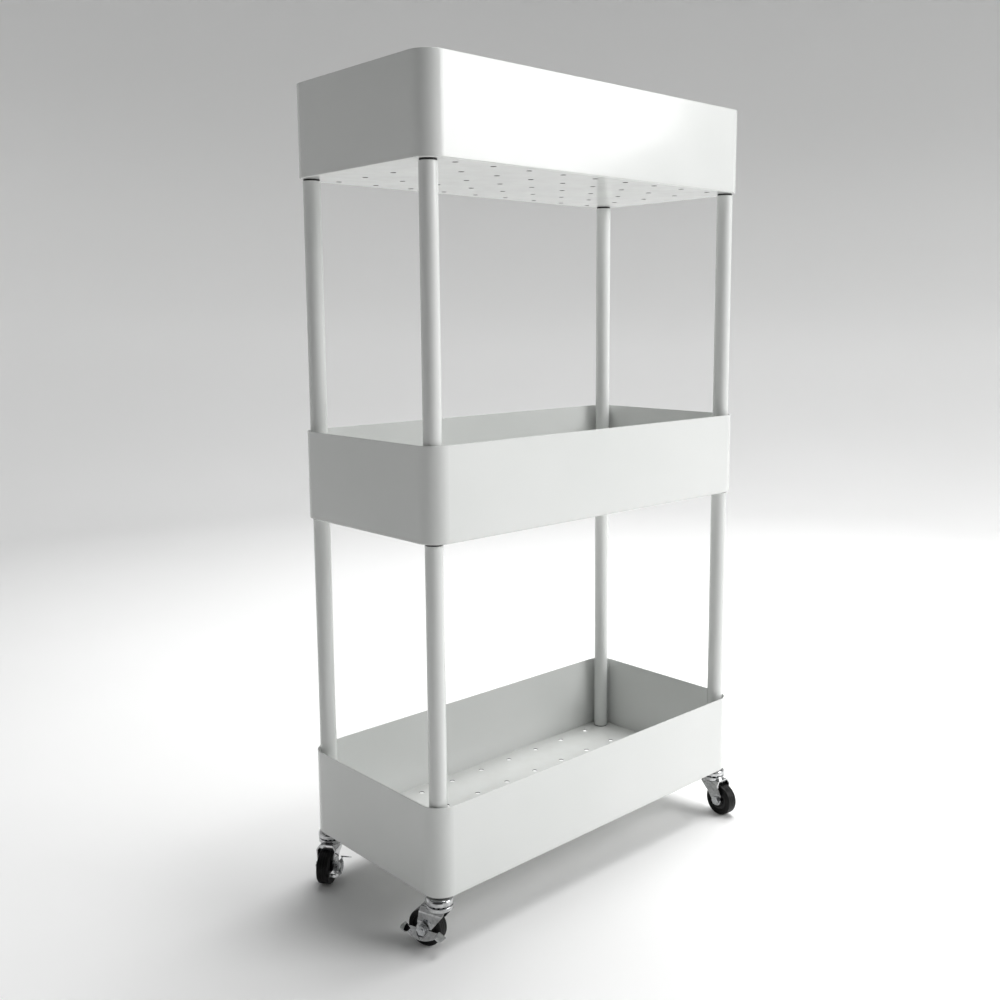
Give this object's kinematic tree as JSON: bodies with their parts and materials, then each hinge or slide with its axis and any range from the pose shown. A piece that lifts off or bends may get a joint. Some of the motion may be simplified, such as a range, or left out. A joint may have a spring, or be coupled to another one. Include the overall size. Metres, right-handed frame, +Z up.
{
  "type": "rolling pantry cart",
  "caption": "Narrow tiered storage cart: deep perforated steel trays on round corner posts, with small swivel casters, two of them with side brakes.",
  "frame": {"origin": "on the floor, under the middle of the trays", "axes": "+X along the long side, +Y to the back, +Z up"},
  "size_m": [0.5305, 0.2684, 0.9025],
  "materials": {
    "white_powder_coat": "white satin powder coat with a fine orange peel",
    "black_plug": "moulded black nylon",
    "zinc_steel": "bright zinc plate",
    "chrome_plate": "bright chrome plate on pressed steel",
    "black_hub": "moulded black plastic",
    "black_tyre": "smooth black tread, slightly scuffed"
  },
  "bodies": {
    "frame": {"bottom_tray": "white_powder_coat", "middle_tray": "white_powder_coat", "top_tray": "white_powder_coat", "lower_post_front_left": "white_powder_coat", "lower_post_back_left": "white_powder_coat", "lower_post_front_right": "white_powder_coat", "lower_post_back_right": "white_powder_coat", "lower_post_plugs": "black_plug", "lower_post_bushes": "zinc_steel", "upper_post_front_left": "white_powder_coat", "upper_post_back_left": "white_powder_coat", "upper_post_front_right": "white_powder_coat", "upper_post_back_right": "white_powder_coat", "upper_post_plugs": "black_plug", "upper_post_bushes": "zinc_steel", "middle_tray_studs": "zinc_steel", "top_tray_screws": "zinc_steel", "top_tray_washers": "zinc_steel", "race_balls": "zinc_steel", "caster_stem_front_left": "chrome_plate", "race_cap_front_left": "chrome_plate", "caster_stem_back_left": "chrome_plate", "race_cap_back_left": "chrome_plate", "caster_stem_front_right": "chrome_plate", "race_cap_front_right": "chrome_plate", "caster_stem_back_right": "chrome_plate", "race_cap_back_right": "chrome_plate"},
    "fork_body_front_left": {"fork_front_left": "chrome_plate", "axle_bolt_front_left": "zinc_steel", "axle_nut_front_left": "zinc_steel", "axle_sleeve_front_left": "zinc_steel"},
    "wheel_front_left": {"wheel_core_front_left": "black_hub", "tyre_front_left": "black_tyre"},
    "brake_front_left": {"brake_lever_front_left": "chrome_plate"},
    "fork_body_back_left": {"fork_back_left": "chrome_plate", "axle_bolt_back_left": "zinc_steel", "axle_nut_back_left": "zinc_steel", "axle_sleeve_back_left": "zinc_steel"},
    "wheel_back_left": {"wheel_core_back_left": "black_hub", "tyre_back_left": "black_tyre"},
    "brake_back_left": {"brake_lever_back_left": "chrome_plate"},
    "fork_body_front_right": {"fork_front_right": "chrome_plate", "axle_bolt_front_right": "zinc_steel", "axle_nut_front_right": "zinc_steel", "axle_sleeve_front_right": "zinc_steel"},
    "wheel_front_right": {"wheel_core_front_right": "black_hub", "tyre_front_right": "black_tyre"},
    "fork_body_back_right": {"fork_back_right": "chrome_plate", "axle_bolt_back_right": "zinc_steel", "axle_nut_back_right": "zinc_steel", "axle_sleeve_back_right": "zinc_steel"},
    "wheel_back_right": {"wheel_core_back_right": "black_hub", "tyre_back_right": "black_tyre"}
  },
  "joints": [
    {"name": "swivel_front_left", "type": "hinge", "parent": "frame", "child": "fork_body_front_left", "pos_m": [-0.2348, -0.1012, 0.047], "axis": [0, 0, 1], "continuous": true},
    {"name": "roll_front_left", "type": "hinge", "parent": "fork_body_front_left", "child": "wheel_front_left", "pos_m": [-0.23972, -0.0865, 0.02], "axis": [-0.9483, -0.3173, 0], "continuous": true},
    {"name": "brake_front_left", "type": "hinge", "parent": "fork_body_front_left", "child": "brake_front_left", "pos_m": [-0.23972, -0.0865, 0.02], "axis": [-0.9483, -0.3173, 0], "range_deg": [0, 20]},
    {"name": "swivel_back_left", "type": "hinge", "parent": "frame", "child": "fork_body_back_left", "pos_m": [-0.2348, 0.1012, 0.047], "axis": [0, 0, 1], "continuous": true},
    {"name": "roll_back_left", "type": "hinge", "parent": "fork_body_back_left", "child": "wheel_back_left", "pos_m": [-0.24734, 0.09209, 0.02], "axis": [0.5878, -0.809, 0], "continuous": true},
    {"name": "brake_back_left", "type": "hinge", "parent": "fork_body_back_left", "child": "brake_back_left", "pos_m": [-0.24734, 0.09209, 0.02], "axis": [0.5878, -0.809, 0], "range_deg": [0, 20]},
    {"name": "swivel_front_right", "type": "hinge", "parent": "frame", "child": "fork_body_front_right", "pos_m": [0.2348, -0.1012, 0.047], "axis": [0, 0, 1], "continuous": true},
    {"name": "roll_front_right", "type": "hinge", "parent": "fork_body_front_right", "child": "wheel_front_right", "pos_m": [0.23318, -0.11661, 0.02], "axis": [0.9945, -0.1045, 0], "continuous": true},
    {"name": "swivel_back_right", "type": "hinge", "parent": "frame", "child": "fork_body_back_right", "pos_m": [0.2348, 0.1012, 0.047], "axis": [0, 0, 1], "continuous": true},
    {"name": "roll_back_right", "type": "hinge", "parent": "fork_body_back_right", "child": "wheel_back_right", "pos_m": [0.24537, 0.11254, 0.02], "axis": [-0.7314, 0.682, 0], "continuous": true}
  ]
}
